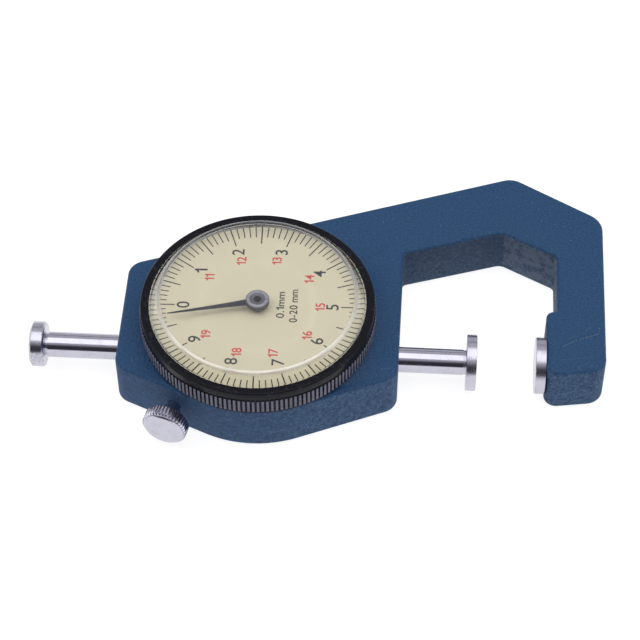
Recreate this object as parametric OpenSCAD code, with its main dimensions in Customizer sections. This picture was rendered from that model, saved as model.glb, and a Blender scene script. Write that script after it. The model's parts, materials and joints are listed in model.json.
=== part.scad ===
// Dial thickness gauge: a C-shaped frame holds a fixed anvil and a sliding
// spindle.  A rack on the spindle turns the pointer once for every 10 mm.
// Origin: on the dial axis, at the back face.  +X points from the spindle to
// the anvil, +Y to the back of the arm, +Z out of the dial.

/* [Frame] */
// Thickness of the cast frame
frame_t = 9; // [8.8:0.1:10.5]
// Distance from the dial axis to the left face of the body
body_left = 22.95; // [21:0.1:28]
// Distance from the dial axis to the right face of the body
body_right = 23.6; // [21:0.1:28]
// Radius of the round underside of the body, about the dial axis
belly_r = 19; // [18:0.1:21]
// Slope of the two flanks that run into the round underside
flank_slope = 23.4; // [20:0.1:26]
// Height of the upper left corner of the body above the dial axis
shoulder_y = 11.6; // [10:0.1:14]
// Distance along X from the dial axis to the peak of the arm
peak_x = 42.1; // [38:0.1:50]
// Height of the peak of the arm above the dial axis
peak_y = 35.2; // [31:0.1:42]
// Width of the hanging arm at the heel, outside the inner face
arm_w = 8; // [6.5:0.1:11]
// Height of the heel of the arm above the dial axis
heel_y = 26; // [22:0.1:30]
// Depth of the outer toe corner below the dial axis
toe_y = 7.3; // [6:0.1:10]
// How much lower the inner toe corner is than the outer one
toe_drop = 1.5; // [0:0.1:3]
// Height of the anvil boss step above the dial axis
boss_top_y = 5; // [3:0.1:8]
// How far the anvil boss stands in from the arm
boss_step = 1.8; // [1.2:0.1:2.5]
// Height of the throat at its right end
throat_right_y = 17; // [14:0.1:20]
// Distance along X from the dial axis to the peak of the throat
throat_peak_x = 40.5; // [36:0.1:44]
// Height of the peak of the throat
throat_peak_y = 22; // [19:0.1:26]
// Height of the throat at its left end
throat_left_y = 16.4; // [13:0.1:18.5]

/* [Spindle] */
// Diameter of the spindle
spindle_d = 4.3; // [4.2:0.1:4.6]
// Height of the spindle axis above the back face
spindle_z = 4.75; // [4.6:0.05:5.2]
// Gap between the two measuring faces as set
gap = 9.68; // [5:0.01:12]
// Full travel of the spindle
travel = 20; // [15:0.5:20]
// Play left between the measuring faces at the closed stop
closed_play = 0.02; // [0.01:0.01:0.1]
// Distance along X from the dial axis to the contact face
contact_x = 36.5; // [34:0.1:42]
// Diameter of the two measuring faces
face_d = 9.4; // [7:0.1:9.4]
// Thickness of the contact flange
flange_t = 1.7; // [1.2:0.1:3]
// Distance along X from the dial axis to the outer face of the lifting knob
knob_x = 37.95; // [36:0.05:44]
// Diameter of the lifting knob
knob_d = 7.6; // [6:0.1:9]
// Thickness of the lifting knob
knob_t = 2.45; // [2:0.05:4]
// Length of the narrow neck behind the knob and the flange
neck_len = 0.5; // [0.3:0.1:1]
// Diameter of the narrow neck
neck_d = 3.6; // [3:0.1:4.1]
// Outer diameter of the spindle bushes
bush_d = 5; // [4.9:0.1:5.2]
// How far the bushes sit in from the faces of the body
bush_inset = 0.3; // [0.1:0.1:2]
// Diameter of the anvil's shank
anvil_shank_d = 4; // [3:0.1:6]
// Length of the anvil's shank
anvil_shank_len = 6; // [4:0.5:6.5]

/* [Movement] */
// Teeth on the pointer's pinion
pinion_teeth = 16; // [15:1:18]
// Spindle travel for one turn of the pointer
travel_per_turn = 10; // [9.8:0.1:10.2]
// Teeth on the take-up gear
gear_teeth = 48; // [40:4:52]
// Share of the tooth pitch that is left as backlash
backlash = 0.12; // [0.08:0.01:0.2]
// Diameter of the pocket that holds the movement
pocket_d = 26.8; // [26.6:0.1:27.4]
// Diameter of the recess that seats the upper plate
seat_d = 31.2; // [31:0.1:32]
// Height of the ledge that carries the upper plate
ledge_z = 7.4; // [7.3:0.1:7.6]
// Thickness of the upper plate
upper_plate_t = 0.8; // [0.6:0.1:1]
// Height of the underside of the lower plate
lower_plate_z = 1.3; // [1.2:0.05:1.4]
// Thickness of the lower plate
lower_plate_t = 1; // [0.8:0.1:1.05]
// Diameter of the pointer's arbor
arbor_d = 1; // [0.8:0.1:1.2]
// Diameter of the take-up gear's arbor
gear_arbor_d = 0.9; // [0.8:0.1:1]
// Diameter of the guide pin
guide_pin_d = 1; // [0.8:0.1:1.2]
// Diameter of the arm that pulls the spindle
spring_arm_d = 0.8; // [0.6:0.1:0.9]
// Outer diameter of the return spring
spring_d = 1.8; // [1.5:0.1:1.8]

/* [Back cover] */
// Diameter of the back cover
cover_d = 32.4; // [32:0.1:33]
// Thickness of the back cover
cover_t = 1; // [0.8:0.1:1.1]

/* [Dial and bezel] */
// Outer diameter of the knurled band
bezel_d = 39.2; // [38.8:0.1:41]
// Outer diameter of the plain wall above the knurled band
bezel_top_d = 38.8; // [38.4:0.1:40]
// Diameter of the neck that the bezel turns on
neck_ring_d = 34.8; // [34.2:0.1:35]
// Diameter of the opening in the bezel's lip
lip_d = 36; // [35.8:0.1:36.2]
// Gap between the frame and the underside of the bezel
bezel_gap = 0.15; // [0.1:0.05:0.4]
// Height of the top of the bezel above the frame
bezel_h = 5; // [5:0.1:5.6]
// Thickness of the dial plate
dial_t = 0.5; // [0.3:0.1:0.6]
// Height of the dial's face above the frame
dial_h = 3.4; // [3.3:0.1:3.5]
// Height of the flat top of the crystal above the frame
crystal_h = 6.9; // [6.8:0.1:7.6]
// Diameter of the flat top of the crystal
crystal_flat_d = 32; // [28:0.5:33]
// Thickness of the crystal
crystal_t = 1.3; // [1:0.1:1.4]
// Turn of the dial from square
dial_turn = 1.81; // [-180:0.01:180]
// Length of the pointer from the dial axis to its tip
pointer_len = 15; // [12:0.5:16]
// Diameter of the pointer's hub
hub_d = 3.9; // [3:0.1:5]

/* [Lock screw] */
// Turn of the lock screw's axis from straight down
lock_lean = 14; // [12:0.5:15]
// Distance along X from the dial axis to the middle of the screw's face
lock_x = 14.1; // [13.9:0.1:14.4]
// Distance along Y from the dial axis to the middle of the screw's face
lock_y = 20.5; // [20.4:0.1:22]
// Diameter of the lock screw's head
lock_head_d = 7.5; // [6:0.1:8.4]
// Thickness of the lock screw's head
lock_head_t = 2.6; // [2:0.1:3]
// Diameter of the shoulder under the head
lock_shoulder_d = 2.9; // [2.6:0.1:4.5]
// Diameter of the screw's thread
lock_thread_d = 2.3; // [2:0.1:2.5]
// Pitch of the screw's thread
lock_pitch = 0.5; // [0.4:0.05:0.6]
// Diameter of the brass pad that presses on the spindle
lock_pad_d = 1.6; // [1.2:0.1:1.8]
// Length of the pad
lock_pad_len = 3; // [2.5:0.1:3.5]

/* [Fits] */
// Radial clearance where a part turns or slides in another
running = 0.03; // [0.02:0.01:0.06]
// Clearance around parts that must not touch
free = 0.2; // [0.15:0.05:0.3]

/* [Hidden] */
$fn = 96;
over = 1;

// Gear train: pitch radius, module and tooth proportions
pitch_r = travel_per_turn / (2 * PI);
tooth_module = 2 * pitch_r / pinion_teeth;
tooth_pitch = PI * tooth_module;
pressure_angle = 20;
addendum = 0.8 * tooth_module;
dedendum = 1.25 * tooth_module;
gear_pitch_r = tooth_module * gear_teeth / 2;
gear_y = pitch_r + gear_pitch_r;

// Spindle
spindle_r = spindle_d / 2;
rack_depth = 0.25;
rack_offset = spindle_r - rack_depth;
spindle_y = -(pitch_r + rack_offset);
opening_travel = travel - gap;
rack_margin = 2 * tooth_pitch;
rack_first = -ceil((gap + rack_margin) / tooth_pitch);
rack_last = ceil((opening_travel + rack_margin) / tooth_pitch);
face_r = face_d / 2;
rod_right = contact_x - flange_t - neck_len;
rod_left = -(knob_x - knob_t - neck_len);
stud_r = 1;
stud_len = 4;
neck_r = min(neck_d, spindle_d - 0.5) / 2;
pin_depth = 1.4;
arm_depth = 1.2;
overlap = 0.1;
anvil_x = contact_x + gap + closed_play;

// Frame
boss_x = anvil_x + flange_t;
arm_x = boss_x + boss_step;
heel_x = arm_x + arm_w;
neck_ring_r = neck_ring_d / 2;
guide_pin_r = guide_pin_d / 2;
guide_slot_end = 0.3;
pocket_rim = 1;
slot_corner = [travel / 2 + guide_slot_end + guide_pin_r, spindle_y - guide_pin_r];
pocket_r = max(pocket_d / 2, norm(slot_corner) + pocket_rim);
seat_r = seat_d / 2;
cover_r = cover_d / 2;
bush_r = bush_d / 2;
bush_wall = 0.4;
bush_end = sqrt(pocket_r * pocket_r - spindle_y * spindle_y) + bush_wall;

// Movement: heights above the back face
lower_plate_top = lower_plate_z + lower_plate_t;
upper_plate_top = ledge_z + upper_plate_t;
arbor_r = arbor_d / 2;
gear_arbor_r = gear_arbor_d / 2;
pinion_half_w = 1.4;
gear_t = 0.6;
gear_seat_r = 0.8;
collet_r = 0.95;
hairspring_z = ledge_z - 1;
hairspring_h = 0.4;
hairspring_t = 0.14;
hairspring_turns = 4;
hairspring_end_r = gear_pitch_r - 0.9;
stud_post_r = 0.35;
pillar_r = 1;
pillar_tenon_r = 0.6;
pillar_ring_r = pocket_r - 1.9;
pillar_angle = 34.4;
pillar_at = [
    pillar_ring_r * [cos(pillar_angle), sin(pillar_angle)],
    pillar_ring_r * [-cos(pillar_angle), sin(pillar_angle)],
    [0, -pillar_ring_r]];
thread_r = 0.55;
thread_len = 2.6;
screw_head_r = 1.1;
sink_depth = 0.6;
screw_len = 3.2;
screw_fit = 0.01;
drive_slot = 0.3;
drive_depth = 0.25;
collar_w = 0.35;
collar_h = 0.35;
end_shake = 0.05;
light_hole_r = 0.85;
light_hole_at = 2.7;
plate_screw_at = [for (a = [20, 160, 270]) (pocket_r + seat_r) / 2 * [cos(a), sin(a)]];
cover_screw_at = [for (a = [50, 130, 270]) (pocket_r + cover_r) / 2 * [cos(a), sin(a)]];

// Guide pin and return spring
guide_x = (opening_travel - gap) / 2;
arm_pin_x = 1.5;
spring_arm_r = spring_arm_d / 2;
spring_r = spring_d / 2;
spring_wire = 0.25;
spring_hook = 1.4;
eye_play = 0.02;
spring_y = spindle_y - 3.9;
spring_channel_r = spring_r + free;
anchor_x = body_right - 2.9;
anchor_r = 0.5;
anchor_groove = 0.15;
anchor_groove_h = 0.6;
channel_end = anchor_x + spring_channel_r;
channel_low = spring_channel_r - spring_y;
channel_start = sqrt(pocket_r * pocket_r - channel_low * channel_low) - over;

// Bezel group
neck_top = frame_t + 2.4;
bezel_bottom = frame_t + bezel_gap;
bezel_top = frame_t + bezel_h;
bezel_r = bezel_d / 2;
bezel_top_r = bezel_top_d / 2;
bezel_bore_r = neck_ring_r + running + 0.02;
lip_r = lip_d / 2;
lip_t = 0.4;
dial_z = frame_t + dial_h - dial_t;
dial_top = frame_t + dial_h;
dial_seat_r = lip_r + 0.2;
seated_r = dial_seat_r - 0.05;
dial_hole_r = arbor_r + 0.7;
band_bottom = bezel_bottom + 0.35;
band_top = frame_t + 3.4;
band_step = 0.1;
rim_r = bezel_r - 0.25;
edge_round = 0.85;
wire_z = frame_t + 1.2;
wire_h = 0.6;
wire_depth = 0.4;
wire_play = 0.06;
wire_arc = 340;
crystal_top = frame_t + crystal_h;
crystal_r = lip_r - 0.05;
crystal_flange_z = frame_t + 4;
crystal_wall_top = bezel_top + 0.1;
crystal_flat_r = crystal_flat_d / 2;
crystal_edge = 0.15;
crystal_shoulder = 0.5;
crystal_crown = 0.25;
reflector_r = lip_r - 0.5;
reflector_slope = 0.3;

// Pointer
pointer_z = frame_t + 4.65;
pointer_t = 0.2;
hub_r = hub_d / 2;
hub_low = 0.35;
cap_h = 0.45;
hub_skirt = 0.6;
hub_wall = 0.4;
cap_edge = 0.15;
pointer_taper = 1;
pointer_root_w = 1.3;
pointer_tip_w = 0.16;
pointer_angle = 180 + dial_turn - 360 * gap / travel_per_turn;

// Lock screw: its axis starts at the middle of the head's face
lock_thread_r = lock_thread_d / 2;
lock_pad_r = lock_pad_d / 2;
lock_path = (lock_y + spindle_y - spindle_r) / cos(lock_lean);
lock_pad_gap = 0.03;
lock_pad_end = lock_path - lock_pad_r * tan(lock_lean) - lock_pad_gap;
lock_pad_start = lock_pad_end - lock_pad_len;
lock_shoulder_end = lock_head_t + 2;
lock_edge = 0.3;
left_bush_end = max(bush_end,
    lock_x - lock_path * sin(lock_lean) + lock_pad_r + free);

function unit(v) = v / norm(v);

// Points of a round corner of radius r at p, between the sides to a and b
function round_corner(a, p, b, r, steps) =
    let (
        u = unit(a - p),
        v = unit(b - p),
        half = acos(u * v) / 2,
        centre = p + unit(u + v) * r / sin(half),
        start = p + u * r / tan(half) - centre,
        end = p + v * r / tan(half) - centre,
        from = atan2(start.y, start.x),
        turn = (atan2(end.y, end.x) - from + 540) % 360 - 180)
    [for (i = [0:steps]) centre + r * [cos(from + turn * i / steps), sin(from + turn * i / steps)]];

// A closed outline from corners given as [x, y, radius]
function round_outline(corners) =
    let (n = len(corners), at = [for (c = corners) [c.x, c.y]])
    [for (i = [0:n - 1])
        each round_corner(at[(i + n - 1) % n], at[i], at[(i + 1) % n], corners[i].z,
            corners[i].z > 10 ? 24 : 8)];

// Depth below the dial axis of a flank, at a distance x from the axis
function flank_y(x) = -(belly_r - x * sin(flank_slope)) / cos(flank_slope);

function involute(angle) = tan(angle) * 180 / PI - angle;

// Half of a tooth's angle at radius r on a gear of n teeth
function half_tooth(n, r) =
    let (base = tooth_module * n / 2 * cos(pressure_angle), at = max(r, base))
    90 / n * (1 - backlash) + involute(pressure_angle) - involute(acos(base / at));

// Outline of a spur gear of n teeth, its first tooth at the angle first
function gear_outline(n, first) =
    let (
        middle = tooth_module * n / 2,
        radii = [middle - dedendum, middle - dedendum / 2, middle, middle + addendum],
        rise = [for (r = radii) [r, -half_tooth(n, r)]],
        fall = [for (i = [3:-1:0]) [radii[i], half_tooth(n, radii[i])]])
    [for (i = [0:n - 1], p = concat(rise, fall))
        p[0] * [cos(first + 360 * i / n + p[1]), sin(first + 360 * i / n + p[1])]];

// A round bar along X on the spindle's axis
module bar(from, to, r) {
    translate([from, spindle_y, spindle_z]) rotate([0, 90, 0]) cylinder(r = r, h = to - from);
}

module disc(r, from, to) {
    translate([0, 0, from]) cylinder(r = r, h = to - from);
}

module ring(inner, outer, from, to) {
    difference() {
        disc(outer, from, to);
        disc(inner, from - over, to + over);
    }
}

// Puts its children at each place of a list of [x, y]
module at_each(places) {
    for (p = places) translate([p.x, p.y, 0]) children();
}

// A bar along the lock screw's axis, measured from its face inwards
module lock_bar(from, to, r) {
    translate([-lock_x, -lock_y, spindle_z]) rotate([-90, 0, -lock_lean])
        translate([0, 0, from]) cylinder(r = r, h = to - from);
}

// A countersunk screw whose head starts at height 0 and runs up
module countersunk(r, head_r, sink, len) {
    cylinder(r1 = head_r, r2 = r, h = sink);
    translate([0, 0, sink - screw_fit]) cylinder(r = r, h = len - sink + screw_fit);
}

module slot_cut(from, to, y, r, low, high) {
    translate([from, y - r, low]) cube([to - from, 2 * r, high - low]);
    for (x = [from, to]) translate([x, y, low]) cylinder(r = r, h = high - low);
}

module frame_bores() {
    disc(cover_r + running, -over, cover_t);
    disc(pocket_r, -over, neck_top + over);
    disc(seat_r, ledge_z, neck_top + over);
    ring(neck_ring_r - wire_depth, neck_ring_r + over, wire_z, wire_z + wire_h);
    bar(-body_left - over, 0, bush_r);
    bar(0, body_right + over, bush_r);
    bar(boss_x - over, boss_x + anvil_shank_len + free, anvil_shank_d / 2);
    lock_bar(0, lock_path, lock_thread_r + running);
    translate([channel_start, spring_y, spindle_z]) rotate([0, 90, 0])
        cylinder(r = spring_channel_r, h = channel_end - channel_start);
    translate([anchor_x, spring_y, -over]) cylinder(r = anchor_r, h = over + ledge_z);
    at_each(plate_screw_at) disc(thread_r, ledge_z - thread_len, ledge_z + over);
    at_each(cover_screw_at) disc(thread_r, 0, cover_t + thread_len);
}

module frame() {
    outline = round_outline([
        [-body_left, shoulder_y, 3],
        [peak_x, peak_y, 3.5],
        [heel_x, heel_y, 4],
        [heel_x, -toe_y, 3],
        [boss_x, -toe_y - toe_drop, 2],
        [boss_x, boss_top_y, 1.3],
        [arm_x, boss_top_y, 0.3],
        [arm_x, throat_right_y, 1.2],
        [throat_peak_x, throat_peak_y, 2],
        [body_right, throat_left_y, 1],
        [body_right, flank_y(body_right), 3],
        [0, -belly_r / cos(flank_slope), belly_r],
        [-body_left, flank_y(body_left), 3]]);
    color("#365071") difference() {
        union() {
            linear_extrude(frame_t) polygon(outline);
            disc(neck_ring_r, over, neck_top);
        }
        frame_bores();
    }
}

module back_cover() {
    color("#3c3f45") difference() {
        disc(cover_r, 0, cover_t);
        at_each(cover_screw_at) translate([0, 0, -screw_fit / 10])
            countersunk(thread_r + screw_fit, screw_head_r + screw_fit, sink_depth, cover_t + over);
    }
}

module cover_screws() {
    color("silver") at_each(cover_screw_at)
        countersunk(thread_r, screw_head_r, sink_depth, screw_len);
}

module lower_plate() {
    color("#c9a24a") difference() {
        disc(pocket_r - free, lower_plate_z, lower_plate_top);
        disc(arbor_r + running, 0, ledge_z);
        translate([0, gear_y, 0]) disc(gear_arbor_r + running, 0, ledge_z);
        slot_cut(guide_x - opening_travel - guide_slot_end, guide_x + gap + guide_slot_end,
            spindle_y, guide_pin_r + running, 0, ledge_z);
        at_each(pillar_at) translate([0, 0, lower_plate_z - screw_fit / 10])
            countersunk(thread_r + screw_fit, screw_head_r + screw_fit, sink_depth,
                lower_plate_t + over);
    }
}

module upper_plate() {
    color("#c9a24a") difference() {
        disc(seat_r - free / 2, ledge_z, upper_plate_top);
        disc(arbor_r + running, 0, frame_t + over);
        translate([0, gear_y, 0]) disc(gear_arbor_r + running, 0, frame_t + over);
        at_each(pillar_at) disc(pillar_tenon_r, 0, frame_t + over);
        at_each(plate_screw_at) disc(thread_r + running, 0, frame_t + over);
        translate([hairspring_end_r + stud_post_r, gear_y, 0])
            disc(stud_post_r, 0, frame_t + over);
    }
}

module pillars() {
    color("#b8b9bd") at_each(pillar_at) difference() {
        union() {
            disc(pillar_r, lower_plate_top, ledge_z);
            disc(pillar_tenon_r, lower_plate_top + over, upper_plate_top);
        }
        disc(thread_r, lower_plate_top - over, lower_plate_top + thread_len);
    }
}

module pillar_screws() {
    color("silver") at_each(pillar_at) translate([0, 0, lower_plate_z])
        countersunk(thread_r, screw_head_r, sink_depth, screw_len);
}

module plate_screws() {
    color("silver") at_each(plate_screw_at) {
        disc(thread_r, ledge_z - thread_len + free, upper_plate_top + overlap);
        difference() {
            disc(screw_head_r, upper_plate_top, upper_plate_top + sink_depth);
            translate([-over - screw_head_r, -drive_slot / 2, upper_plate_top + sink_depth - drive_depth])
                cube([2 * (screw_head_r + over), drive_slot, over]);
        }
    }
}

module left_bush() {
    color("#b98c3c") difference() {
        bar(-body_left + bush_inset, -left_bush_end, bush_r);
        bar(-body_left - over, 0, spindle_r + running);
    }
}

module right_bush() {
    color("#b98c3c") difference() {
        bar(bush_end, body_right - bush_inset, bush_r);
        bar(0, body_right + over, spindle_r + running);
    }
}

module anvil() {
    color("#d5d6da") {
        bar(anvil_x, boss_x, face_r);
        bar(boss_x - overlap, boss_x + anvil_shank_len, anvil_shank_d / 2);
    }
}

module spring_anchor() {
    color("silver") translate([anchor_x, spring_y, 0]) difference() {
        disc(anchor_r, free, ledge_z);
        ring(anchor_r - anchor_groove, anchor_r + over, spindle_z - anchor_groove_h / 2,
            spindle_z + anchor_groove_h / 2);
    }
}

// The coil as a plain tube, with a flat eye at each end
module return_spring() {
    coil_start = arm_pin_x + spring_hook;
    coil_end = anchor_x - spring_hook;
    eye_inner = anchor_r + eye_play;
    eye_outer = eye_inner + spring_wire;
    color("#9a9ca2") translate([0, spring_y, spindle_z]) {
        difference() {
            translate([coil_start, 0, 0]) rotate([0, 90, 0])
                cylinder(r = spring_r, h = coil_end - coil_start);
            translate([coil_start - over, 0, 0]) rotate([0, 90, 0])
                cylinder(r = spring_r - spring_wire, h = coil_end - coil_start + 2 * over);
        }
        for (end = [[arm_pin_x, coil_start + spring_wire, 1], [anchor_x, coil_end, 0]])
            difference() {
                union() {
                    spring_eye(end[0], eye_outer, end[2]);
                    translate([min(end[0], end[1]) + (end[2] == 1 ? eye_inner + end_shake : -overlap),
                        -spring_r, -spring_wire / 2])
                        cube([abs(end[1] - end[0]) - eye_inner + end_shake, 2 * spring_r, spring_wire]);
                }
                spring_eye(end[0], eye_inner, end[2], 1);
            }
    }
}

// A disc round the spring's pin: the arm runs along Y, the anchor along Z
module spring_eye(x, r, along_y, extra = 0) {
    h = spring_wire + extra;
    translate([x, 0, 0]) rotate([along_y * 90, 0, 0]) cylinder(r = r, h = h, center = true);
}

module spindle() {
    space = tooth_pitch / 2 * (1 + backlash);
    slant = tan(pressure_angle);
    tip_y = spindle_y + rack_offset + addendum;
    root_y = spindle_y + rack_offset - dedendum;
    tip_w = space / 2 + addendum * slant;
    root_w = space / 2 - dedendum * slant;
    cut = concat(
        [[rack_first * tooth_pitch - tip_w, tip_y + over]],
        [for (k = [rack_first:rack_last]) let (x = k * tooth_pitch)
            each [[x - tip_w, tip_y], [x - root_w, root_y], [x + root_w, root_y], [x + tip_w, tip_y]]],
        [[rack_last * tooth_pitch + tip_w, tip_y + over]]);
    color("#cfd0d6") difference() {
        bar(rod_left, rod_right, spindle_r);
        translate([0, 0, spindle_z - spindle_r]) linear_extrude(spindle_d) polygon(cut);
        bar(rod_left - over, rod_left + stud_len, stud_r);
        bar(rod_right - stud_len, rod_right + over, stud_r);
        translate([guide_x, spindle_y, 0]) disc(guide_pin_r, 0, spindle_z - spindle_r + pin_depth);
        translate([arm_pin_x, spindle_y - spindle_r + arm_depth, spindle_z]) rotate([90, 0, 0])
            cylinder(r = spring_arm_r, h = arm_depth + over);
    }
}

module contact_flange() {
    color("#d5d6da") {
        bar(contact_x - flange_t, contact_x, face_r);
        bar(rod_right, contact_x - flange_t + overlap, neck_r);
        bar(rod_right - stud_len + free, rod_right + overlap, stud_r);
    }
}

module lift_knob() {
    edge = 0.35;
    color("#d5d6da") {
        bar(-knob_x + edge, -knob_x + knob_t - edge, knob_d / 2);
        for (side = [0, 1])
            translate([side == 0 ? -knob_x : -knob_x + knob_t - edge, spindle_y, spindle_z])
                rotate([0, 90, 0]) cylinder(r1 = knob_d / 2 - (1 - side) * edge,
                    r2 = knob_d / 2 - side * edge, h = edge);
        bar(-knob_x + knob_t - overlap, rod_left, neck_r);
        bar(rod_left - overlap, rod_left + stud_len - free, stud_r);
    }
}

module guide_pin() {
    color("silver") translate([guide_x, spindle_y, 0])
        disc(guide_pin_r, lower_plate_z + free / 2, spindle_z - spindle_r + pin_depth);
}

module spring_arm() {
    top_y = spindle_y - spindle_r + arm_depth;
    color("silver") translate([arm_pin_x, top_y, spindle_z])
        rotate([90, 0, 0]) cylinder(r = spring_arm_r, h = top_y - spring_y + anchor_r);
}

module pinion_arbor() {
    color("#b8b9bd") {
        disc(arbor_r, lower_plate_z, pointer_z + pointer_t + cap_h);
        disc(arbor_r + collar_w, lower_plate_top + end_shake, lower_plate_top + end_shake + collar_h);
        disc(arbor_r + collar_w, ledge_z - end_shake - collar_h, ledge_z - end_shake);
        translate([0, 0, spindle_z - pinion_half_w]) linear_extrude(2 * pinion_half_w)
            polygon(gear_outline(pinion_teeth, -90));
    }
}

module pointer() {
    tip = pointer_tip_w / 2;
    root = pointer_root_w / 2;
    color("#23263a") translate([0, 0, pointer_z]) rotate([0, 0, pointer_angle]) difference() {
        linear_extrude(pointer_t) union() {
            circle(r = hub_r - free);
            polygon([[0, -root], [pointer_len - pointer_taper, -tip], [pointer_len, 0],
                [pointer_len - pointer_taper, tip], [0, root]]);
        }
        disc(arbor_r, -over, over);
    }
}

module pointer_hub() {
    color("#8f919a") {
        difference() {
            union() {
                disc(hub_r, pointer_z - hub_low, pointer_z);
                disc(arbor_r + hub_wall, pointer_z - hub_low - hub_skirt, pointer_z - overlap);
            }
            disc(arbor_r, 0, pointer_z + over);
        }
    }
}

module pointer_cap() {
    low = pointer_z + pointer_t;
    color("#8f919a") difference() {
        rotate_extrude() polygon([[0, low], [hub_r, low], [hub_r, low + cap_h - cap_edge],
            [hub_r - cap_edge, low + cap_h], [0, low + cap_h]]);
        disc(arbor_r, 0, crystal_top);
    }
}

module take_up_gear() {
    color("#d0aa55") difference() {
        translate([0, gear_y, spindle_z - gear_t / 2]) linear_extrude(gear_t)
            polygon(gear_outline(gear_teeth, -90 + 180 / gear_teeth));
        translate([0, gear_y, 0]) disc(gear_seat_r, 0, frame_t);
        at_each([for (a = [0:72:359]) [light_hole_at * cos(a), gear_y + light_hole_at * sin(a)]])
            disc(light_hole_r, 0, frame_t);
    }
}

module take_up_arbor() {
    color("#b8b9bd") translate([0, gear_y, 0]) {
        disc(gear_arbor_r, lower_plate_z, upper_plate_top);
        disc(gear_seat_r, lower_plate_top + end_shake, spindle_z + gear_t / 2 + collar_h);
        disc(collet_r, hairspring_z - overlap, hairspring_z + hairspring_h + overlap);
    }
}

// A flat spiral of constant pitch from the collet to the stud
module hairspring() {
    steps = 24 * hairspring_turns;
    inner = collet_r + hairspring_t / 2;
    growth = (hairspring_end_r - inner) / steps;
    side = [for (i = [0:steps]) [inner + growth * i, 360 * hairspring_turns * i / steps]];
    color("#4a5a8a") translate([0, gear_y, hairspring_z]) linear_extrude(hairspring_h)
        polygon(concat(
            [for (s = side) (s[0] - hairspring_t / 2) * [cos(s[1]), sin(s[1])]],
            [for (i = [steps:-1:0]) let (s = side[i]) (s[0] + hairspring_t / 2) * [cos(s[1]), sin(s[1])]]));
}

module hairspring_stud() {
    color("silver") translate([hairspring_end_r + stud_post_r, gear_y, 0]) difference() {
        disc(stud_post_r, hairspring_z - overlap, upper_plate_top);
        translate([-over - stud_post_r + hairspring_t, -over, hairspring_z - over])
            cube([over, 2 * over, hairspring_h + over]);
    }
}

module dial_plate() {
    color("#cfc8b2") difference() {
        disc(seated_r, dial_z, dial_top);
        disc(dial_hole_r, 0, crystal_top);
    }
}

module bezel() {
    groove_r = bezel_bore_r + wire_depth;
    rounded = [for (a = [0:15:90])
        [bezel_top_r - edge_round + edge_round * cos(a), bezel_top - edge_round + edge_round * sin(a)]];
    color("#26282f") rotate_extrude() polygon(concat(
        [[bezel_bore_r, bezel_bottom], [rim_r, bezel_bottom], [rim_r, band_bottom],
            [bezel_r, band_bottom], [bezel_r, band_top], [bezel_top_r, band_top + band_step]],
        rounded,
        [[lip_r, bezel_top], [lip_r, bezel_top - lip_t], [dial_seat_r, bezel_top - lip_t],
            [dial_seat_r, dial_z], [bezel_bore_r, dial_z], [bezel_bore_r, wire_z + wire_h],
            [groove_r, wire_z + wire_h], [groove_r, wire_z], [bezel_bore_r, wire_z]]));
}

// An open spring ring that keeps the bezel on the neck
module bezel_wire() {
    inner = neck_ring_r - wire_depth + running;
    outer = bezel_bore_r + wire_depth - wire_play;
    color("#8a8c92") rotate([0, 0, 90 + (360 - wire_arc) / 2]) rotate_extrude(angle = wire_arc)
        translate([inner, wire_z + wire_play]) square([outer - inner, wire_h - 2 * wire_play]);
}

module reflector_ring() {
    color("#c9cad0") rotate_extrude() polygon([[reflector_r, dial_top], [seated_r, dial_top],
        [seated_r, crystal_flange_z], [reflector_r + reflector_slope, crystal_flange_z]]);
}

module crystal() {
    under = crystal_top - crystal_t;
    flange_top = bezel_top - lip_t;
    color([0.9, 0.95, 1, 0.35]) rotate_extrude() polygon([
        [0, under], [crystal_flat_r - crystal_shoulder, under],
        [crystal_r - crystal_t * 0.8, crystal_flange_z],
        [seated_r, crystal_flange_z], [seated_r, flange_top],
        [crystal_r, flange_top], [crystal_r, crystal_wall_top],
        [crystal_r - crystal_edge, crystal_wall_top + crystal_shoulder],
        [crystal_flat_r + crystal_shoulder, crystal_top - crystal_crown],
        [crystal_flat_r, crystal_top], [0, crystal_top]]);
}

module lock_screw() {
    head_r = lock_head_d / 2;
    color("#d5d6da") {
        lock_bar(lock_edge, lock_head_t - lock_edge, head_r);
        translate([-lock_x, -lock_y, spindle_z]) rotate([-90, 0, -lock_lean]) {
            cylinder(r1 = head_r - lock_edge, r2 = head_r, h = lock_edge);
            translate([0, 0, lock_head_t - lock_edge])
                cylinder(r1 = head_r, r2 = head_r - lock_edge, h = lock_edge);
        }
        lock_bar(lock_head_t - overlap, lock_shoulder_end, lock_shoulder_d / 2);
        lock_bar(lock_shoulder_end - overlap, lock_pad_start, lock_thread_r);
    }
}

module lock_pad() {
    color("#b98c3c") lock_bar(lock_pad_start, lock_pad_end, lock_pad_r);
}

frame();
back_cover();
cover_screws();
lower_plate();
upper_plate();
pillars();
pillar_screws();
plate_screws();
left_bush();
right_bush();
anvil();
spring_anchor();
return_spring();
spindle();
contact_flange();
lift_knob();
guide_pin();
spring_arm();
pinion_arbor();
pointer();
pointer_hub();
pointer_cap();
take_up_gear();
take_up_arbor();
hairspring();
hairspring_stud();
dial_plate();
bezel();
bezel_wire();
reflector_ring();
crystal();
lock_screw();
lock_pad();
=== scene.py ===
"""The looks of a dial thickness gauge, built round its packed construction model."""
import json
import math

import bmesh
import bpy
from mathutils import Matrix, Vector


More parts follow.
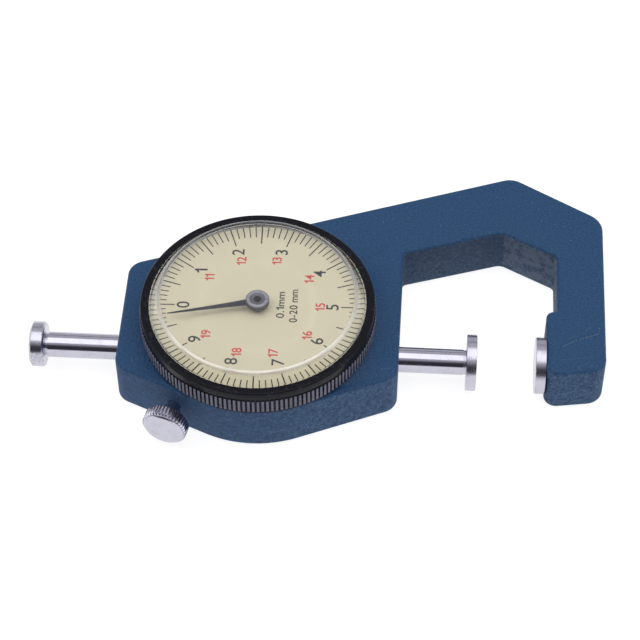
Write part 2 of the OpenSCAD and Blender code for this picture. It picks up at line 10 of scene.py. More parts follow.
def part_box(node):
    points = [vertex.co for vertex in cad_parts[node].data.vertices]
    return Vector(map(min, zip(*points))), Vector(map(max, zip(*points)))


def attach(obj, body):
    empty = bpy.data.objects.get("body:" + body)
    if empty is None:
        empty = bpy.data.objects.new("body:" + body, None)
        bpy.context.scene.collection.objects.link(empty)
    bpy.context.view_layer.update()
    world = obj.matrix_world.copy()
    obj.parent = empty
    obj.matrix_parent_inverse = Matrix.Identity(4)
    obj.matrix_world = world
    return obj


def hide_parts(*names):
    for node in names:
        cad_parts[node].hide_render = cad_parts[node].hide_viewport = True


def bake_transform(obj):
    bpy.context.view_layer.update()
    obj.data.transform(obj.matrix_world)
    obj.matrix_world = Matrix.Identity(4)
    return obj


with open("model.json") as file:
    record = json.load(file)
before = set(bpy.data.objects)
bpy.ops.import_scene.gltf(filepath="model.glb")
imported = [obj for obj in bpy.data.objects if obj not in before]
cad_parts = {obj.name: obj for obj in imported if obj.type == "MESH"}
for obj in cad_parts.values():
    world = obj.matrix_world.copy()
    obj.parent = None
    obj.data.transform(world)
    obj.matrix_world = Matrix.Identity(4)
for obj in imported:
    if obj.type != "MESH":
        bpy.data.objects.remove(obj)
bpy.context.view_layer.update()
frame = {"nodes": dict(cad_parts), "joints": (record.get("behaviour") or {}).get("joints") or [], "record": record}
mm = 0.001

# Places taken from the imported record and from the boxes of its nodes

mounts = {m["name"]: m for m in frame["record"]["mounts"]}
joints = {j["name"]: j for j in frame["joints"]}
contact_centre = Vector(mounts["contact_face"]["pos_m"])
anvil_centre = Vector(mounts["anvil_face"]["pos_m"])
lock_face_centre = Vector(joints["lock_turn"]["pos_m"])
lock_inward = -Vector(joints["lock_turn"]["axis"])
plate_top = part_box("bezel")[0].z - 0.15 * mm
spindle_height = contact_centre.z

# The dial is turned a little from square, and 0 lies towards the lifting knob
dial_turn = math.radians(1.81)
dial_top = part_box("dial_plate")[1].z
divisions = 100
print_depth = 0.02 * mm
figure_height = 0.729  # of the type at size 1

# Colours, as light reflected in each of red, green and blue
white_chrome = (0.54, 0.53, 0.61, 1)
casting_blue = (0.005, 0.043, 0.122, 1)
casting_grey = (0.026, 0.062, 0.132, 1)
cream = (0.715, 0.650, 0.480, 1)
ink_black = (0.020, 0.020, 0.024, 1)
ink_red = (0.620, 0.050, 0.055, 1)
anodised_black = (0.006, 0.0065, 0.010, 1)


# ---------------------------------------------------------------- shader sums


class Wire:
    """One output of a shader node, which takes part in Python sums."""

    def __init__(self, finish, socket):
        self.finish = finish
        self.socket = socket

    def _sum(self, operation, *terms):
        return self.finish.add("ShaderNodeMath", {"operation": operation}, dict(enumerate(terms)))

    def __add__(self, other):
        return self._sum("ADD", self, other)

    def __radd__(self, other):
        return self._sum("ADD", other, self)

    def __sub__(self, other):
        return self._sum("SUBTRACT", self, other)

    def __rsub__(self, other):
        return self._sum("SUBTRACT", other, self)

    def __mul__(self, other):
        return self._sum("MULTIPLY", self, other)

    def __rmul__(self, other):
        return self._sum("MULTIPLY", other, self)

    def __truediv__(self, other):
        return self._sum("DIVIDE", self, other)

    def __abs__(self):
        return self._sum("ABSOLUTE", self)

    def above(self, level, softness):
        """0 under the level and 1 over it, with a soft step between."""
        return self.finish.add(
            "ShaderNodeMapRange",
            {"interpolation_type": "SMOOTHSTEP"},
            {"Value": self, "From Min": level - softness, "From Max": level + softness},
        )

    def below(self, level, softness):
        return 1 - self.above(level, softness)


class Finish:
    """A material in the making: a Principled shader and what feeds it."""

    def __init__(self, name, **constants):
        self.material = bpy.data.materials.new(name)
        self.material.use_nodes = True
        self.tree = self.material.node_tree
        self.surface = self.tree.nodes["Principled BSDF"]
        for socket, value in constants.items():
            self.surface.inputs[socket.replace("_", " ")].default_value = value
        self.place = self.add("ShaderNodeTexCoord", output="Object")

    def add(self, kind, settings=None, sockets=None, output=None):
        """Any node: its type, its settings, its sockets' values or links, and the output wanted."""
        node = self.tree.nodes.new(kind)
        for name, value in (settings or {}).items():
            setattr(node, name, value)
        for key, value in (sockets or {}).items():
            self._fill(self._socket(node.inputs, key), value)
        return Wire(self, self._socket(node.outputs, output or 0))

    @staticmethod
    def _socket(sockets, key):
        usable = [s for s in sockets if s.enabled]
        if isinstance(key, int):
            return usable[key]
        return next(s for s in usable if s.name == key)

    def _fill(self, socket, value):
        if isinstance(value, Wire):
            self.tree.links.new(value.socket, socket)
        else:
            socket.default_value = value

    def blend(self, factor, first, second):
        """Mixes two colours."""
        return self.add(
            "ShaderNodeMix", {"data_type": "RGBA"}, {"Factor": factor, "A": first, "B": second}
        )

    def parts(self, vector):
        """The three numbers of a vector."""
        node = self.add("ShaderNodeSeparateXYZ", sockets={0: vector}).socket.node
        return [Wire(self, s) for s in node.outputs]

    def vector(self, x, y, z):
        return self.add("ShaderNodeCombineXYZ", sockets={0: x, 1: y, 2: z})

    def noise(self, place, scale, detail=2.0, roughness=0.5):
        return self.add(
            "ShaderNodeTexNoise",
            sockets={"Vector": place, "Scale": scale, "Detail": detail, "Roughness": roughness},
            output="Fac",
        )

    def cells(self, place, scale, feature="F1"):
        return self.add(
            "ShaderNodeTexVoronoi",
            {"feature": feature},
            {"Vector": place, "Scale": scale},
            output="Distance",
        )

    def feed(self, **links):
        for socket, wire in links.items():
            self._fill(self.surface.inputs[socket.replace("_", " ")], wire)

    def bumps(self, height, depth):
        """Turns a height from 0 to 1 into a Normal, for bumps of that depth in metres."""
        self.feed(
            Normal=self.add(
                "ShaderNodeBump",
                sockets={"Height": height, "Distance": depth, "Strength": 1.0},
            )
        )

    def about(self, point, direction):
        """How far along an axis a place is, and how far from it."""
        from_point = self.add(
            "ShaderNodeVectorMath", {"operation": "SUBTRACT"}, {0: self.place, 1: tuple(point)}
        )
        along = self.add(
            "ShaderNodeVectorMath",
            {"operation": "DOT_PRODUCT"},
            {0: from_point, 1: tuple(direction)},
            output="Value",
        )
        across = self.add(
            "ShaderNodeVectorMath",
            {"operation": "CROSS_PRODUCT"},
            {0: from_point, 1: tuple(direction)},
        )
        radius = self.add(
            "ShaderNodeVectorMath", {"operation": "LENGTH"}, {0: across}, output="Value"
        )
        return along, radius

    def steepness(self):
        """0 on faces that lie flat and 1 on upright ones."""
        normal = self.add("ShaderNodeNewGeometry", output="Normal")
        return 1 - abs(self.parts(normal)[2])


# ---------------------------------------------------------------- finishes


def scratch(finish, start, end, width):
    """1 on a thin straight line between two places seen from above, in metres."""
    x, y, _ = finish.parts(finish.place)
    dx, dy = end[0] - start[0], end[1] - start[1]
    length = math.hypot(dx, dy)
    along = ((x - start[0]) * dx + (y - start[1]) * dy) / length
    across = abs((x - start[0]) * dy - (y - start[1]) * dx) / length
    return across.below(width, width * 0.5) * along.above(0, width) * along.below(length, width)


def casting_enamel():
    """Blue hammer enamel: fine dimples on the flat faces, a coarse sandy skin on the sides."""
    finish = Finish("Blue hammer enamel", Specular_IOR_Level=0.35)
    x, y, z = finish.parts(finish.place)
    side = finish.steepness().above(0.55, 0.3)
    dimples = finish.cells(finish.place, 2300, "SMOOTH_F1")
    skin = finish.noise(finish.place, 1500, 4, 0.6)
    sand = finish.noise(finish.place, 1000, 5, 0.7)
    lumps = finish.cells(finish.place, 1250, "SMOOTH_F1")
    normal_x, normal_y, _ = finish.parts(finish.add("ShaderNodeNewGeometry", output="Normal"))
    throat_x, throat_y = 37.0 * mm, 5.0 * mm
    faces_throat = (throat_x - x) * normal_x + (throat_y - y) * normal_y
    inside = x.above(20.5 * mm, 0.5 * mm) * y.above(4.5 * mm, 2 * mm)
    raw = side * inside * faces_throat.above(1.0 * mm, 1.0 * mm)
    cloud = finish.noise(finish.place, 160, 3)
    mottle = finish.noise(finish.place, 3000, 2, 0.6)
    colour = finish.blend(mottle.above(0.5, 0.16), casting_blue, (0.017, 0.078, 0.188, 1))
    colour = finish.blend(cloud.above(0.5, 0.25) * 0.35, colour, (0.014, 0.068, 0.160, 1))
    dust = finish.noise(finish.place, 2600, 3, 0.6).above(0.55, 0.10) * side
    colour = finish.blend(side * 0.7, colour, (0.034, 0.090, 0.200, 1))
    rougher_end = 0.35 + 0.65 * x.above(4.0 * mm, 12.0 * mm)
    colour = finish.blend(dust * rougher_end * 0.75, colour, (0.095, 0.180, 0.320, 1))
    pits = sand.below(0.45, 0.06) * side
    colour = finish.blend(pits * rougher_end * 0.5, colour, (0.006, 0.028, 0.080, 1))
    colour = finish.blend(raw * 0.75, colour, casting_grey)
    grit = finish.noise(finish.place, 2100, 4, 0.75).above(0.53, 0.10)
    colour = finish.blend(raw * grit * 0.6, colour, (0.085, 0.125, 0.190, 1))
    chalky = raw * x.above(40.5 * mm, 0.6 * mm) * finish.noise(finish.place, 700, 4, 0.7)
    colour = finish.blend(chalky.above(0.48, 0.10) * 0.55, colour, (0.160, 0.205, 0.285, 1))
    specks = finish.cells(finish.place, 1500).below(0.10, 0.03)
    rare = finish.noise(finish.place, 700, 1).above(0.60, 0.04)
    colour = finish.blend(specks * rare * 0.7, colour, (0.30, 0.38, 0.45, 1))
    hand_marks = finish.noise(finish.place, 3000, 1).above(0.42, 0.15)
    lines = scratch(finish, (50.6 * mm, -2.6 * mm), (52.9 * mm, -1.2 * mm), 0.05 * mm)
    lines = lines + scratch(finish, (52.9 * mm, -1.2 * mm), (56.6 * mm, 0.4 * mm), 0.05 * mm)
    lines = lines + scratch(finish, (50.2 * mm, -5.5 * mm), (55.6 * mm, -4.6 * mm), 0.035 * mm) * 0.5
    lines = lines * z.above(plate_top - 0.8 * mm, 0.1 * mm)
    colour = finish.blend(lines * hand_marks * 0.5, colour, (0.30, 0.37, 0.44, 1))
    flat_height = dimples * 0.55 + skin * 0.45
    side_height = sand * 2.2 + lumps * 0.8
    height = flat_height * (1 - side) + side_height * side * (1 + 0.8 * raw)
    finish.feed(Base_Color=colour, Roughness=0.50 + 0.14 * skin + 0.12 * side)
    finish.bumps(height - lines * 0.3, 0.22 * mm)
    return finish.material


def cover_lacquer():
    """Dark satin lacquer over a turned steel cover."""
    finish = Finish("Satin black lacquer")
    _, radius = finish.about((0, 0, 0), (0, 0, 1))
    rings = finish.noise(finish.vector(radius * 9000, 0, 0), 1, 3)
    rubbed = finish.noise(finish.place, 140, 5).above(0.62, 0.12)
    colour = finish.blend(rubbed * rings, (0.030, 0.033, 0.040, 1), (0.10, 0.10, 0.11, 1))
    worn_edge = radius.above(15.9 * mm, 0.15 * mm) * rings.above(0.45, 0.2)
    colour = finish.blend(worn_edge * 0.6, colour, (0.16, 0.16, 0.17, 1))
    finish.feed(Base_Color=colour, Roughness=0.34 + 0.2 * rings, Metallic=rubbed * 0.3)
    finish.bumps(rings, 0.006 * mm)
    return finish.material


def turned_metal(
    name, colour, shade, roughness, point, direction, marks=7000, depth=0.004, worn=0.0
):
    """Bright metal off a lathe: marks run round the axis, with dark pits, more where worn."""
    finish = Finish(name, Metallic=1.0)
    along, radius = finish.about(point, direction)
    turned = finish.noise(finish.vector(along * marks, radius * marks, 0), 1, 3, 0.6)
    patches = finish.noise(finish.place, 600, 4, 0.65)
    pits = finish.cells(finish.place, 2100).below(0.13 + worn, 0.05) * patches.above(0.52 - worn, 0.05)
    tint = finish.blend(patches.above(0.55, 0.2) * 0.5, colour, shade)
    tint = finish.blend(pits * 0.65, tint, (0.10, 0.10, 0.12, 1))
    finish.feed(
        Base_Color=tint, Roughness=roughness + roughness * 0.7 * turned + 0.10 * patches.above(0.6, 0.1)
    )
    finish.bumps(turned - pits, depth * mm)
    return finish.material


def brass(name, colour, dark, scale):
    """Brass with a straight fine grain and a thin brown bloom."""
    finish = Finish(name, Metallic=1.0)
    x, y, z = finish.parts(finish.place)
    grain = finish.noise(finish.vector(x * 500, y * scale, z * 500), 1, 3)
    bloom = finish.noise(finish.place, 260, 4)
    tint = finish.blend(bloom.above(0.55, 0.2) * 0.6, colour, dark)
    finish.feed(Base_Color=tint, Roughness=0.26 + 0.16 * grain)
    finish.bumps(grain, 0.004 * mm)
    return finish.material


def blued_steel():
    finish = Finish("Blued spring steel", Metallic=1.0)
    tone = finish.noise(finish.place, 900, 2)
    tint = finish.blend(tone, (0.05, 0.08, 0.26, 1), (0.11, 0.12, 0.30, 1))
    finish.feed(Base_Color=tint, Roughness=0.22 + 0.12 * tone)
    return finish.material


def drawn_wire():
    """Grey drawn wire, with die marks along its length."""
    finish = Finish("Drawn spring wire", Metallic=1.0)
    marks = finish.noise(finish.place, 6000, 3)
    tint = finish.blend(marks, (0.34, 0.34, 0.37, 1), (0.52, 0.52, 0.55, 1))
    finish.feed(Base_Color=tint, Roughness=0.28 + 0.14 * marks)
    finish.bumps(marks, 0.003 * mm)
    return finish.material


def needle_lacquer():
    """Blue-black lacquer, rubbed a little lighter along the needle."""
    finish = Finish(
        "Blue-black needle lacquer", Coat_Weight=0.1, Coat_Roughness=0.2, Specular_IOR_Level=0.25
    )
    tone = finish.noise(finish.place, 1400, 3)
    rubbed = tone.above(0.58, 0.08) * 0.5
    tint = finish.blend(rubbed, (0.008, 0.009, 0.018, 1), (0.045, 0.047, 0.070, 1))
    finish.feed(Base_Color=tint, Roughness=0.30 + 0.15 * tone)
    return finish.material


def hub_steel():
    """Grey turned steel, near black round its middle, with a painted highlight on a ring near its rim."""
    finish = Finish("Grey turned hub", Metallic=1.0)
    _, radius = finish.about((0, 0, 0), (0, 0, 1))
    rings = finish.noise(finish.vector(radius * 8000, 0, 0), 1, 3)
    stain = finish.noise(finish.place, 1500, 4)
    tint = finish.blend(rings * 0.6, (0.17, 0.165, 0.20, 1), (0.10, 0.10, 0.125, 1))
    # Painted highlight: a lighter ring between 1.3 and 1.8 mm from the axis.
    rim = radius.above(1.30 * mm, 0.08 * mm) * radius.below(1.80 * mm, 0.06 * mm)
    tint = finish.blend(rim * 0.8, tint, (0.46, 0.45, 0.53, 1))
    tint = finish.blend(radius.below(0.66 * mm, 0.06 * mm) * 0.95, tint, (0.012, 0.012, 0.02, 1))
    tint = finish.blend(stain.above(0.6, 0.08) * 0.4, tint, (0.10, 0.10, 0.13, 1))
    finish.feed(Base_Color=tint, Roughness=0.30 + 0.2 * rings)
    finish.bumps(rings + stain * 0.5, 0.010 * mm)
    return finish.material


def dial_enamel():
    """Cream enamel, very slightly mottled, with painted shade that makes it a touch greyer at its edge by the
    bezel.
    """
    finish = Finish("Cream dial enamel", Specular_IOR_Level=0.3)
    _, radius = finish.about((0, 0, 0), (0, 0, 1))
    cloud = finish.noise(finish.place, 130, 4)
    fleck = finish.noise(finish.place, 5200, 2).above(0.62, 0.06)
    tint = finish.blend(cloud.above(0.5, 0.25) * 0.5, cream, (0.680, 0.620, 0.455, 1))
    tint = finish.blend(fleck * 0.10, tint, (0.45, 0.42, 0.30, 1))
    # Painted shade: greyer towards the edge, beside the bezel's wall.
    tint = finish.blend(radius.above(16.4 * mm, 1.2 * mm) * 0.35, tint, (0.52, 0.50, 0.38, 1))
    finish.feed(Base_Color=tint, Roughness=0.52 + 0.1 * cloud)
    finish.bumps(finish.noise(finish.place, 2400, 2), 0.004 * mm)
    return finish.material


def printing_ink(name, colour, faded):
    """Screen ink: thin and a little uneven."""
    finish = Finish(name, Specular_IOR_Level=0.3)
    cover = finish.noise(finish.place, 5000, 3)
    finish.feed(
        Base_Color=finish.blend(cover.above(0.60, 0.12) * 0.5, colour, faded),
        Roughness=0.45 + 0.2 * cover,
    )
    return finish.material


def bezel_anodising():
    """Black anodised metal, lighter grey violet on the crests of its knurl (partly wear, partly a painted
    highlight), with painted shade in the knurl's grooves.
    """
    finish = Finish("Black anodised bezel", Specular_IOR_Level=0.13)
    _, radius = finish.about((0, 0, 0), (0, 0, 1))
    _, _, height = finish.parts(finish.place)
    wear = finish.noise(finish.place, 900, 4, 0.65)
    band = height.below(12.35 * mm, 0.10 * mm) * height.above(9.50 * mm, 0.06 * mm)
    # The crests are painted a lighter grey violet: partly wear, partly a painted highlight.
    crest = radius.above(19.51 * mm, 0.035 * mm) * band * wear.above(0.30, 0.25)
    tint = finish.blend(crest * 0.85, anodised_black, (0.210, 0.210, 0.290, 1))
    # Painted shade: the knurl's grooves are darkened.
    painted_groove_shade = radius.below(19.40 * mm, 0.03 * mm) * band
    tint = finish.blend(painted_groove_shade * 0.8, tint, (0.004, 0.004, 0.006, 1))
    rubbed = wear.above(0.62, 0.06) * (1 - band)
    tint = finish.blend(rubbed * 0.25, tint, (0.06, 0.06, 0.08, 1))
    turned = finish.noise(finish.vector(radius * 6000, height * 6000, 0), 1, 2)
    finish.feed(Base_Color=tint, Roughness=0.20 + 0.12 * turned + 0.20 * crest)
    finish.bumps(turned + wear * 0.6, 0.005 * mm)
    return finish.material


def reflector_metal():
    finish = Finish("Bright spun ring", Metallic=1.0)
    _, radius = finish.about((0, 0, 0), (0, 0, 1))
    _, _, height = finish.parts(finish.place)
    rings = finish.noise(finish.vector(radius * 12000, height * 12000, 0), 1, 3)
    finish.feed(
        Base_Color=finish.blend(rings * 0.5, (0.80, 0.79, 0.82, 1), (0.62, 0.61, 0.66, 1)),
        Roughness=0.14 + 0.16 * rings,
    )
    finish.bumps(rings, 0.003 * mm)
    return finish.material


def crystal_acrylic():
    """Clear acrylic with a hazy shoulder that carries a painted sheen, which lets light through to the dial."""
    finish = Finish("Clear acrylic", Transmission_Weight=1.0, IOR=1.49)
    finish.surface.inputs["Base Color"].default_value = (0.985, 0.99, 0.975, 1)
    haze = finish.noise(finish.place, 420, 5, 0.7).above(0.66, 0.06)
    _, radius = finish.about((0, 0, 0), (0, 0, 1))
    _, _, height = finish.parts(finish.place)
    shoulder = radius.above(15.95 * mm, 0.25 * mm) * radius.below(16.75 * mm, 0.30 * mm)
    # Painted highlight: the shoulder band is made partly metallic, which gives a white sheen. It is also rougher,
    # which gives a real haze.
    painted_sheen_and_haze = shoulder * height.above(15.2 * mm, 0.1 * mm) * (0.75 + 0.4 * haze)
    finish.feed(Metallic=0.30 * painted_sheen_and_haze, Roughness=0.012 + 0.02 * haze + 0.42 * painted_sheen_and_haze)
    light = finish.add("ShaderNodeLightPath", output="Is Shadow Ray")
    clear = finish.add("ShaderNodeBsdfTransparent", sockets={"Color": (0.96, 0.97, 0.95, 1)})
    both = finish.add(
        "ShaderNodeMixShader", sockets={0: light, 1: Wire(finish, finish.surface.outputs[0]), 2: clear}
    )
    finish.tree.links.new(both.socket, finish.tree.nodes["Material Output"].inputs["Surface"])
    return finish.material


along_x, along_z = (1, 0, 0), (0, 0, 1)
finishes = {
    "painted_casting": casting_enamel(),
    "cover_lacquer": cover_lacquer(),
    "steel_screw": turned_metal(
        "Turned screw steel", (0.60, 0.60, 0.63, 1), (0.42, 0.42, 0.45, 1), 0.22, (0, 0, 0), along_z
    ),
    "brass_plate": brass("Grained brass plate", (0.72, 0.53, 0.23, 1), (0.44, 0.30, 0.12, 1), 9000),
    "steel_turned": turned_metal(
        "Bright turned steel", (0.66, 0.66, 0.69, 1), (0.5, 0.5, 0.53, 1), 0.16, (0, 0, 0), along_z
    ),
    "oiled_steel": turned_metal(
        "Oiled arbor steel", (0.022, 0.022, 0.030, 1), (0.012, 0.012, 0.016, 1), 0.30, (0, 0, 0), along_z
    ),
    "bush_bronze": brass("Reamed bronze", (0.60, 0.40, 0.19, 1), (0.34, 0.21, 0.10, 1), 4000),
    "polished_chrome": turned_metal(
        "Polished chrome", white_chrome, (0.44, 0.43, 0.50, 1), 0.075, contact_centre, along_x
    ),
    "flange_chrome": turned_metal(
        "Brushed chrome", white_chrome, (0.40, 0.39, 0.46, 1), 0.17, contact_centre, along_x,
        marks=4200, depth=0.012
    ),
    "worn_chrome": turned_metal(
        "Pitted chrome", white_chrome, (0.40, 0.39, 0.46, 1), 0.15, contact_centre, along_x,
        marks=4200, depth=0.012, worn=0.08
    ),
    "spring_wire": drawn_wire(),
    "pointer_blue": needle_lacquer(),
    "hub_steel": hub_steel(),
    "gear_brass": brass("Cut gear brass", (0.76, 0.57, 0.26, 1), (0.5, 0.36, 0.15, 1), 7000),
    "hairspring_blue": blued_steel(),
    "dial_cream": dial_enamel(),
    "ink_black": printing_ink("Black dial ink", ink_black, (0.12, 0.12, 0.11, 1)),
    "ink_red": printing_ink("Red dial ink", ink_red, (0.66, 0.20, 0.17, 1)),
    "bezel_black": bezel_anodising(),
    "reflector_silver": reflector_metal(),
    "crystal_clear": crystal_acrylic(),
    "lock_chrome": turned_metal(
        "Knurled chrome", white_chrome, (0.44, 0.43, 0.50, 1), 0.10, lock_face_centre, lock_inward,
        marks=5200, depth=0.008
    ),
    "pad_brass": brass("Soft brass pad", (0.70, 0.50, 0.22, 1), (0.40, 0.27, 0.12, 1), 5000),
}


# ---------------------------------------------------------------- making pieces


def piece(name, mesh, body, slot, replaces=(), finish=None, crease=35):
    """Turns a mesh into a finished piece of the gauge that rides on a body."""
    mesh.name = name
    made = bpy.data.objects.new(name, mesh)
    bpy.context.scene.collection.objects.link(made)
    mesh.materials.clear()
    mesh.materials.append(finishes[finish or slot])
    mesh.polygons.foreach_set("material_index", [0] * len(mesh.polygons))
    mesh.polygons.foreach_set("use_smooth", [True] * len(mesh.polygons))
    mesh.set_sharp_from_angle(angle=math.radians(crease))
    if body:
        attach(made, body)
    if replaces:
        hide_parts(*replaces)
    return made


def from_bmesh(shape):
    mesh = bpy.data.meshes.new("shape")
    shape.to_mesh(mesh)
    shape.free()
    return mesh


def rounded(corners, closed, steps=5):
    """Rounds a profile given as (radius, height, rounding) in millimetres. Returns metres."""
    points = []
    count = len(corners)
    for i, (x, y, rounding) in enumerate(corners):
        here = Vector((x, y))
        if rounding == 0 or (not closed and i in (0, count - 1)):
            points.append(here * mm)
            continue
        before = (Vector(corners[i - 1][:2]) - here).normalized()
        after = (Vector(corners[(i + 1) % count][:2]) - here).normalized()
        half = before.angle(after) / 2
        centre = here + (before + after).normalized() * rounding / math.sin(half)
        start = here + before * rounding / math.tan(half) - centre
        end = here + after * rounding / math.tan(half) - centre
        sweep = start.angle_signed(end)
        for k in range(steps + 1):
            turn = Matrix.Rotation(-sweep * k / steps, 2)
            points.append((centre + turn @ start) * mm)
    return points


def turned(corners, closed=False, steps=96, place=None, rounding_steps=5):
    """A solid turned about Z from a profile; a profile that isn't closed runs from axis to axis."""
    shape = bmesh.new()
    rings = []
    for point in rounded(corners, closed, rounding_steps):
        if point.x < 1e-7:
            rings.append([shape.verts.new((0, 0, point.y))])
            continue
        angles = [2 * math.pi * k / steps for k in range(steps)]
        rings.append(
            [shape.verts.new((point.x * math.cos(a), point.x * math.sin(a), point.y)) for a in angles]
        )
    pairs = list(zip(rings, rings[1:]))
    if closed:
        pairs.append((rings[-1], rings[0]))
    for low, high in pairs:
        for k in range(steps):
            corners_here = [low[k % len(low)], low[(k + 1) % len(low)]]
            corners_here += [high[(k + 1) % len(high)], high[k % len(high)]]
            unique = list(dict.fromkeys(corners_here))
            if len(unique) > 2:
                shape.faces.new(unique)
    bmesh.ops.recalc_face_normals(shape, faces=shape.faces)
    if place:
        shape.transform(place)
    return from_bmesh(shape)


def axis_place(point, direction):
    """A place whose Z runs along the direction, with its origin at the point."""
    turn = Vector((0, 0, 1)).rotation_difference(Vector(direction)).to_matrix().to_4x4()
    return Matrix.Translation(point) @ turn


def joined(*meshes):
    shape = bmesh.new()
    for mesh in meshes:
        shape.from_mesh(mesh)
    return from_bmesh(shape)


def cad_copy(node):
    """A copy of a node's mesh with its doubles merged and its flat faces whole."""
    shape = bmesh.new()
    shape.from_mesh(frame["nodes"][node].data)
    bmesh.ops.remove_doubles(shape, verts=shape.verts, dist=1e-7)
    bmesh.ops.dissolve_limit(
        shape, angle_limit=math.radians(0.3), verts=shape.verts, edges=shape.edges
    )
    return shape


def frozen(carrier):
    """The plain mesh of an object as its modifiers leave it. The object itself is removed."""
    bpy.context.scene.collection.objects.link(carrier)
    bpy.context.view_layer.update()
    depsgraph = bpy.context.evaluated_depsgraph_get()
    result = bpy.data.meshes.new_from_object(carrier.evaluated_get(depsgraph))
    carrier.modifiers.clear()
    bpy.data.objects.remove(carrier)
    return result


def evaluated(mesh, tree, **values):
    """Runs a Geometry Nodes tree on a mesh and returns the plain mesh that comes out."""
    carrier = bpy.data.objects.new("carrier", mesh)
    modifier = carrier.modifiers.new("nodes", "NODES")
    modifier.node_group = tree
    for socket in tree.interface.items_tree:
        key = socket.name.replace(" ", "_")
        if socket.in_out == "INPUT" and key in values:
            modifier[socket.identifier] = values[key]
    return frozen(carrier)


class Growth:
    """A Geometry Nodes tree in the making."""

    def __init__(self, name, **inputs):
        self.tree = bpy.data.node_groups.new(name, "GeometryNodeTree")
        self.socket("Geometry", "INPUT", "NodeSocketGeometry")
        for label, kind in inputs.items():
            self.socket(label.replace("_", " "), "INPUT", kind)
        self.socket("Finish", "INPUT", "NodeSocketMaterial")
        self.socket("Geometry", "OUTPUT", "NodeSocketGeometry")
        self.given = self.tree.nodes.new("NodeGroupInput").outputs

    def socket(self, name, side, kind):
        self.tree.interface.new_socket(name, in_out=side, socket_type=kind)

    def add(self, kind, settings=None, **sockets):
        node = self.tree.nodes.new(kind)
        for name, value in (settings or {}).items():
            setattr(node, name, value)
        for name, value in sockets.items():
            key = int(name[1:]) if name[1:].isdigit() else name.replace("_", " ")
            if isinstance(value, bpy.types.NodeSocket):
                self.tree.links.new(value, node.inputs[key])
            else:
                node.inputs[key].default_value = value
        return node.outputs[0]

    def close(self, geometry):
        """Ends the tree in real geometry with the given finish."""
        real = self.add("GeometryNodeRealizeInstances", Geometry=geometry)
        done = self.add("GeometryNodeSetMaterial", Geometry=real, Material=self.given["Finish"])
        self.tree.links.new(done, self.tree.nodes.new("NodeGroupOutput").inputs[0])
        return self.tree


def round_the_axis():
    """Copies of a shape at even angles about Z."""
    grow = Growth("Copies round the axis", Count="NodeSocketInt", First_Angle="NodeSocketFloat")
    points = grow.add("GeometryNodePoints", Count=grow.given["Count"])
    step = grow.add(
        "ShaderNodeMath", {"operation": "DIVIDE"}, _0=2 * math.pi, _1=grow.given["Count"]
    )
    turn = grow.add(
        "ShaderNodeMath",
        {"operation": "MULTIPLY_ADD"},
        _0=grow.add("GeometryNodeInputIndex"),
        _1=step,
        _2=grow.given["First Angle"],
    )
    copies = grow.add(
        "GeometryNodeInstanceOnPoints",
        Points=points,
        Instance=grow.given["Geometry"],
        Rotation=grow.add("ShaderNodeCombineXYZ", Z=turn),
    )
    return grow.close(copies)


def wire_along_path():
    """Round wire swept along a line of edges."""
    grow = Growth("Wire along a path", Wire_Radius="NodeSocketFloat", Sides="NodeSocketInt")
    path = grow.add("GeometryNodeMeshToCurve", Mesh=grow.given["Geometry"])
    section = grow.add(
        "GeometryNodeCurvePrimitiveCircle",
        Resolution=grow.given["Sides"],
        Radius=grow.given["Wire Radius"],
    )
    wire = grow.add("GeometryNodeCurveToMesh", Curve=path, Profile_Curve=section, Fill_Caps=True)
    return grow.close(wire)


copies_tree = round_the_axis()
wire_tree = wire_along_path()


def ring_of(shape, count, first_angle, finish):
    return evaluated(
        shape, copies_tree, Count=count, First_Angle=first_angle, Finish=finishes[finish]
    )


def wire(points, radius, finish, sides):
    mesh = bpy.data.meshes.new("path")
    mesh.from_pydata(points, [(i, i + 1) for i in range(len(points) - 1)], [])
    return evaluated(mesh, wire_tree, Wire_Radius=radius, Sides=sides, Finish=finishes[finish])


def prism(sections):
    """A closed solid through sections, each a list of the same number of points."""
    shape = bmesh.new()
    rows = [[shape.verts.new(p) for p in section] for section in sections]
    count = len(rows[0])
    for low, high in zip(rows, rows[1:]):
        for k in range(count):
            shape.faces.new([low[k], low[(k + 1) % count], high[(k + 1) % count], high[k]])
    shape.faces.new(rows[0][::-1])
    shape.faces.new(rows[-1])
    bmesh.ops.recalc_face_normals(shape, faces=shape.faces)
    return from_bmesh(shape)


def knurl_ridge(root, crest, pitch, low, high, chamfer):
    """One straight ridge along Z at +X, with chamfered ends. Sizes in millimetres."""
    def section(height, top):
        half_foot, half_top = pitch * 0.44, pitch * 0.20
        return [
            Vector((root - 0.15, -half_foot, height)) * mm,
            Vector((root, -half_foot, height)) * mm,
            Vector((top, -half_top, height)) * mm,
            Vector((top, half_top, height)) * mm,
            Vector((root, half_foot, height)) * mm,
            Vector((root - 0.15, half_foot, height)) * mm,
        ]
    return prism([
        section(low, root + 0.02),
        section(low + chamfer, crest),
        section(high - chamfer, crest),
        section(high, root + 0.02),
    ])


def cut(mesh, *cutters):
    """The mesh less its cutters."""
    carrier = bpy.data.objects.new("carrier", mesh)
    blades = [bpy.data.objects.new("blade", cutter) for cutter in cutters]
    for blade in blades:
        bpy.context.scene.collection.objects.link(blade)
        modifier = carrier.modifiers.new("cut", "BOOLEAN")
        modifier.operation = "DIFFERENCE"
        modifier.solver = "EXACT"
        modifier.object = blade
    result = frozen(carrier)
    for blade in blades:
        bpy.data.objects.remove(blade)
    return result


def block(low, high):
    """A plain cutter between two corners in metres."""
    x0, y0, z0 = low
    x1, y1, z1 = high
    return prism([
        [(x0, y0, z0), (x1, y0, z0), (x1, y1, z0), (x0, y1, z0)],
        [(x0, y0, z1), (x1, y0, z1), (x1, y1, z1), (x0, y1, z1)],
    ])


# ---------------------------------------------------------------- the casting


